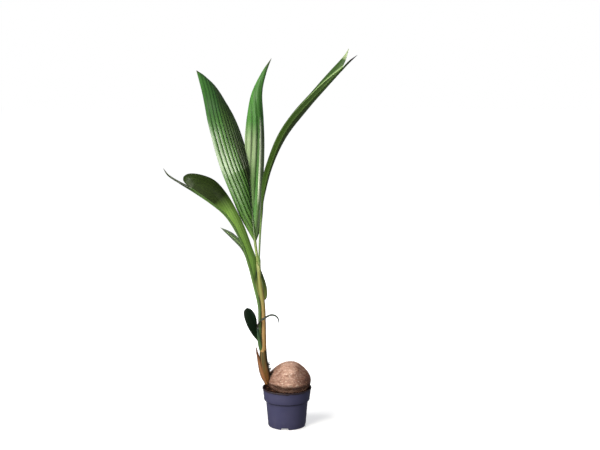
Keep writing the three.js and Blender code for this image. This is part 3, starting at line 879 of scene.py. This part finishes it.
def stalk_finish(name, low, high, streaks, roughness=0.38, rise=(0.05, 0.8), specular=0.5, foot=None):
    """Smooth stalk with fine lengthwise lines and streaks. It goes from its low hue to its high one over
    the shares in `rise`, and can have a hue of its own at its foot."""
    finish, tree, shader = new_finish(name, roughness, specular)
    over, along = on_map(tree)
    streak = lengthwise(tree, over, along, 14, 4)
    lines = lengthwise(tree, over, along, 60, 2, 2)
    hue = tint(tree, low, streaks, streak, 0.38, 0.68, 0.65)
    hue = tint(tree, hue, high, along, *rise)
    if foot is not None:
        hue = tint(tree, hue, foot, along, 0.28, 0.2)
    paint(tree, shader, hue)
    emboss(tree, shader, lines, 0.0004, 0.5)
    return finish


old_blade = blade_finish("old_blade", "050f06", "0b1f0d", "1f3418", "26281a", 0.38, 0.1, (0.3, 0))
first_stalk = grow_limb("first_leaf_stalk_skin", first_leaf["stalk"], 0.6, 28, 0.003, fine_ribs(13, 0.0001))
wear(first_stalk, stalk_finish("first_stalk", "4f6a34", "24402a", "5f7a44"))
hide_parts("first_leaf_stalk")
oval_half = half_blade(
    "first_leaf_oval_blade", first_leaf,
    [(-131, -30, 365), (-151, -33, 402), (-163, -31, 442), (-162, -30, 458)],
    [(-114, -26, 419), (-122, -26, 446), (-137, -26, 464)],
    (-151, -28, 469),
    pitch=14, pleat=0.0014, rows=50,
)
wear(oval_half, old_blade)
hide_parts("first_leaf_oval_half")
tendril = cupped_strip("first_leaf_rolled_half", TENDRIL, 0.6, 1.6, 0.0009, 14)
wear(tendril, stalk_finish("tendril_skin", "17170d", "343d34", "3c4238", specular=0.25))
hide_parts("first_leaf_tendril")


# Second leaf. It springs from the back of the stem, clasps it with a dark bulge on the right, and its
# narrow blade passes behind the stem to show its tip on the left.

hidden_leaf = {
    "stalk": [
        (-92, 2, 448, 1.2), (-91, 11, 474, 3.4), (-90, 25, 509, 3.4), (-97, 34, 558, 3.2),
        (-117, 40, 608, 3), (-148, 50, 661, 2.6), (-194, 62, 716, 2.2), (-233, 72, 747, 1.6),
    ],
    "blade_from": 0.1,
}
second_blade = blade_finish("second_blade", "1d320c", "34521c", "8c9a4c", "5a5a30", 0.28, 0.2, (0.3, 0.12))
second_stalk = grow_limb("second_leaf_rib", hidden_leaf["stalk"], 0.7, 20, 0.004, fine_ribs(9, 0.0001))
wear(second_stalk, stalk_finish("second_rib", "6f7c40", "5f7c3c", "8f9c60"))
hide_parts("hidden_leaf_stalk")
second_right = half_blade(
    "second_leaf_right_blade", hidden_leaf,
    [(-77, 22, 498), (-76, 30, 530), (-87, 35, 572), (-114, 44, 631), (-167, 56, 703), (-209, 66, 743)],
    [],
    (-258, 80, 763),
    pleat=0.0034,
)
wear(second_right, second_blade)
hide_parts("hidden_leaf_right_half")
second_left = half_blade(
    "second_leaf_left_blade", hidden_leaf,
    [(-109, 18, 503), (-141, 34, 600), (-172, 52, 676), (-213, 66, 720)],
    [],
    (-257, 80, 761),
    pleat=0.0034,
)
wear(second_left, second_blade)
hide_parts("hidden_leaf_left_half")


# Left leaf. Its stalk springs from the front of the stem and arches over to the left. The upper half
# of its blade folds forward over the midrib like a dark hood, and the lower half is seen edge on, with
# a long curled tip.

left_leaf = {
    "stalk": [
        (-99, -20, 328, 3), (-103, -18, 378, 6), (-103, -15, 424, 6.4), (-104.4, -12, 470, 6.3),
        (-124, -14, 556, 5.2), (-153, -28, 674, 4.4), (-175, -35, 736, 4), (-225, -44, 825, 3.6),
        (-308, -56, 896, 3), (-354, -60, 930, 2.2),
    ],
    "blade_from": 0.34,
}
left_stalk = grow_limb("left_leaf_rib", left_leaf["stalk"], 0.8, 32, 0.004, fine_ribs(13, 0.00012))
wear(left_stalk, stalk_finish("left_rib", "55763a", "3a5620", "7d9852", foot="476130"))
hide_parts("left_leaf_stalk")
left_upper = half_blade(
    "left_leaf_upper_blade", left_leaf,
    [(-115, 4, 642), (-133, -4, 702), (-157, -10, 773), (-189, -14, 842), (-229, -20, 911), (-271, -22, 956),
     (-327, -20, 977), (-369, -12, 978)],
    [(-374, -50, 944), (-385, -30, 954)],
    (-388, -2, 965),
    camber=0.16, pitch=10, pleat=0.0005,
)
# The upper part of the hood is painted near black: painted shade where it faces up, away from the light.
hood_blade = blade_finish(
    "hood_blade", "557a2c", "84a852", "6f9846", "1d1c0c", 0.4, 0.12, (0.4, 0), "131d05", (0.54, 0.66)
)
wear(left_upper, hood_blade)
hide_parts("left_leaf_upper_half")
left_lower = half_blade(
    "left_leaf_lower_blade", left_leaf,
    [(-142, 10, 606), (-179, 26, 719), (-229, 28, 805), (-289, 24, 861), (-352, 14, 905), (-402, 0, 939),
     (-446, -18, 973)],
    [(-401, -52, 952), (-438, -42, 977)],
    (-460, -30, 1001),
    facing=(0.3, 0, 1), pitch=10, pleat=0.0006,
)
# Its upper part, towards the long tip, is painted darker: painted shade where the blade turns from the
# light.
left_blade = blade_finish(
    "left_blade", "52762a", "7c9f4a", "6c9444", "3b3a1c", 0.3, 0.5, (0.4, 0), "26330f", (0.66, 0.8)
)
wear(left_lower, left_blade)
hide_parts("left_leaf_lower_half")


# Middle leaf. The largest rises out of the top sheath and faces the front. Its left half spreads
# widest, with deep pleats that catch the light, and its right half is turned half away, with a long
# thin point.

middle_leaf = {
    "stalk": [
        (-109.6, 0, 622, 4.2), (-110.6, 0, 640, 4.5), (-113, 0, 664, 5), (-118.8, 2, 708, 5.2),
        (-124, 7, 761, 4.6), (-135, 24, 873, 3.4), (-144, 50, 1001, 2.2),
    ],
    "blade_from": 0.234,
}
middle_stalk = grow_limb("middle_leaf_rib", middle_leaf["stalk"], 0.8, 32, 0.004, fine_ribs(13, 0.00012))
wear(middle_stalk, stalk_finish("middle_rib", "7f9448", "35521e", "a4b068", rise=(0.16, 0.34)))
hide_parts("middle_leaf_stalk")
middle_left = half_blade(
    "middle_leaf_left_blade", middle_leaf,
    [(-151, -2, 770), (-175, -4, 816), (-212, -8, 908), (-246, -10, 998), (-272, -6, 1088), (-295, 6, 1177),
     (-315, 24, 1277)],
    [(-151, 78, 1056), (-169, 98, 1112), (-199, 108, 1188), (-226, 108, 1237), (-270, 90, 1308),
     (-309, 70, 1345)],
    (-340, 60, 1363),
    camber=0.16, pitch=17, pleat=0.0068, crest=0.6, smooth_from=0.62, narrowing=2.2, roll=(0, 0.006),
    rows=200,
)
# The bands darken the side next to the midrib and the inner margin: painted shade where the blade turns away
# from the light.
middle_blade = blade_finish(
    "middle_blade", "2d5218", "4f7c30", "5f8234", "4a4a28", 0.3, 0.72, (0.2, 0), "2f5a24", (0.55, 0.75),
    bands=[("2a3310", 5.9, 20, 0.1, 0.72), ("2f4a18", 4.2, 20, 0.6, 0.9)],
)
wear(middle_left, middle_blade)
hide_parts("middle_leaf_left_half")
middle_right = half_blade(
    "middle_leaf_right_blade", middle_leaf,
    [(-96, 22, 774), (-87, 45, 856), (-85, 80, 967), (-83, 112, 1080), (-86, 131, 1171), (-91, 131, 1286),
     (-77, 128, 1355)],
    [(-159, 62, 1076), (-158, 74, 1136), (-147, 88, 1219), (-132, 102, 1283), (-94, 118, 1359)],
    (-58, 128, 1410),
    camber=0.14, pitch=22, pleat=0.0036, crest=0.38, smooth_from=0.57, roll=(0.006, 0), rows=130,
)
# The pale deep and fresh hues are a painted sheen on the middle of this half, between its green foot
# and upper part. The bands are painted shade on the curled margin, a painted highlight on the pleat
# beside it, and a plain green pleat beside that.
middle_right_blade = blade_finish(
    "middle_right_blade", "7f9a66", "98ab86", "446a2a", "3f3f26", 0.3, 0.3, (0.47, 0.33), "488036",
    (0.54, 0.64),
    bands=[
        ("26331a", 0, 0.95, 0.1, 0.6),
        ("e8f3d6", 1.12, 1.54, 0.3, 0.62),
        ("467a34", 1.62, 2.1, 0.1, 0.6),
    ],
    tip_share=(0.9, 0.99),
)
wear(middle_right, middle_right_blade)
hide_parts("middle_leaf_right_half")


# Right leaf. The youngest comes out of the top sheath as well and leans out to the right on a thin
# stalk. It is still folded along its midrib like a roof, and has just split into two points.

right_leaf = {
    "stalk": [
        (-104.8, -3.5, 616, 3), (-104.6, -4.5, 640, 3.2), (-104, -7, 664, 3.3), (-102.6, -12, 700, 3.4),
        (-97, -28, 785, 3.8), (-84, -48, 908, 3.6), (-54, -66, 1023, 3.4), (6, -86, 1153, 3.2),
        (146, -99.5, 1311, 2.6), (203, -98, 1370, 2),
    ],
    "blade_from": 0.268,
}
right_stalk = grow_limb("right_leaf_rib", right_leaf["stalk"], 0.8, 28, 0.004, fine_ribs(11, 0.0001))
right_rib = stalk_finish(
    "right_rib", "2c4014", "3b5220", "364c1c", 0.6, (0.86, 0.92), 0.12, foot="66804a"
)
wear(right_stalk, right_rib)
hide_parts("right_leaf_stalk")
right_left = half_blade(
    "right_leaf_left_blade", right_leaf,
    [(-92, -8, 938), (-80, 0, 997), (-41, -4, 1101), (16, -16, 1194), (93, -34, 1283), (153, -56, 1351),
     (190, -68, 1391), (212, -74, 1416)],
    [(217, -90, 1401)],
    (228, -78, 1441),
    pitch=12, pleat=0.0009,
)
# The bands are a painted glint on one pale pleat, and painted shade on the side beyond it near the point.
# The dark deep and fresh hues are painted shade over this whole half.
right_blade = blade_finish(
    "right_blade", "1c2c08", "2f4614", "3f5a2a", "8a9a70", 0.36, 0.1, (0.22, 0), "344d23", (0.6, 0.75),
    bands=[("88a26a", 2.95, 3.45, 0.4, 0.95), ("24360f", 3.6, 7, 0.64, 0.93)], tip_share=(0.93, 0.95),
)
wear(right_left, right_blade)
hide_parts("right_leaf_left_half")
right_right = half_blade(
    "right_leaf_right_blade", right_leaf,
    [(-77, -6, 938), (-62, 0, 997), (-9, 0, 1112), (60, -16, 1201), (129, -34, 1284), (194, -58, 1353)],
    [(228, -90, 1396)],
    (259.6, -82, 1418),
    facing=(0.7, -0.5, -0.4), pitch=12, pleat=0.0009,
)
folded_blade = blade_finish(
    "folded_blade", "3c4e1f", "4c6228", "4a6432", "33262e", 0.4, 0.2, (0.22, 0), "4f6e2c", (0.6, 0.75),
    tip_share=(0.9, 0.96),
)
wear(right_right, folded_blade)
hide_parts("right_leaf_right_half")


# Studio. A pale floor runs out to a white surround that gives no light. A large soft light stands close
# by on the left in front, a dim one on the right, and one high on the left. The one behind the plant
# gives it no glints. The camera looks slightly down.

FLOOR_RADIUS = 40
SURROUND_RADIUS = 39
WHITE = (1, 1, 1, 1)
# Each light is a name, where it stands, what it points at, its sides, its power and its hue.
LIGHTS = [
    ("key_light", (-1.21, -1.65, 1.2), (-0.1, 0, 0.98), (0.8, 1.6), 66, (1, 0.96, 0.88)),
    ("fill_light", (2.2, -2.3, 1.75), (-0.1, 0, 0.95), (1.1, 0.5), 28, (1, 0.97, 0.92)),
    ("top_light", (-1.9, -0.7, 2.7), (0, 0, 0.2), (1.2, 1.2), 62, (1, 0.98, 0.95)),
    ("back_light", (0.3, 2.8, 2.4), (-0.1, 0, 0.7), (2.4, 2.4), 85, (0.97, 0.98, 1)),
]
AIR_HUE = (0.88, 0.92, 1, 1)
AIR_LIGHT = 0.15
CAMERA_PLACE = (0.0507, -4.0, 1.345)
DEGREES_DOWN = 8

bpy.ops.object.select_all(action="DESELECT")
bpy.ops.mesh.primitive_circle_add(vertices=96, radius=FLOOR_RADIUS, fill_type="NGON")
floor = bpy.context.object
floor.name = "floor"
pale_floor, tree, shader = new_finish("pale_floor", 0.9, 0.1)
shader.inputs["Base Color"].default_value = (0.8, 0.8, 0.8, 1)
shader.inputs["Emission Color"].default_value = WHITE
away = pattern(tree, "VectorMath", {0: in_object(tree)}, operation="LENGTH").outputs["Value"]
tree.links.new(fade(tree, away, 0.3, 3, 0.3, 0.9), shader.inputs["Emission Strength"])
floor.data.materials.append(pale_floor)
for rays in ("diffuse", "glossy"):
    setattr(floor, "visible_" + rays, False)

bpy.ops.object.select_all(action="DESELECT")
bpy.ops.mesh.primitive_uv_sphere_add(segments=48, ring_count=24, radius=SURROUND_RADIUS)
surround = bpy.context.object
surround.name = "white_surround"
white_air, tree, shader = new_finish("white_air", 1, 0)
shader.inputs["Base Color"].default_value = (0, 0, 0, 1)
shader.inputs["Emission Color"].default_value = WHITE
shader.inputs["Emission Strength"].default_value = 1
surround.data.materials.append(white_air)
for rays in ("diffuse", "glossy", "transmission", "shadow"):
    setattr(surround, "visible_" + rays, False)

for name, spot, aim, size, power, hue in LIGHTS:
    lamp = bpy.data.lights.new(name, "AREA")
    lamp.shape = "RECTANGLE"
    lamp.size, lamp.size_y = size
    lamp.energy = power
    lamp.color = hue
    light = bpy.data.objects.new(name, lamp)
    light.location = spot
    light.rotation_euler = (Vector(aim) - Vector(spot)).to_track_quat("-Z", "Y").to_euler()
    light.visible_glossy = name != "back_light"
    bpy.context.scene.collection.objects.link(light)

world = bpy.data.worlds.new("studio_air")
bpy.context.scene.world = world
world.use_nodes = True
world.node_tree.nodes["Background"].inputs["Color"].default_value = AIR_HUE
world.node_tree.nodes["Background"].inputs["Strength"].default_value = AIR_LIGHT

camera = bpy.data.objects.new("camera", bpy.data.cameras.new("camera"))
camera.data.lens = 64
camera.data.sensor_width = 36
camera.location = CAMERA_PLACE
camera.rotation_euler = (math.radians(90 - DEGREES_DOWN), 0, 0)
bpy.context.scene.collection.objects.link(camera)
bpy.context.scene.camera = camera
bpy.context.scene.view_settings.view_transform = "Standard"
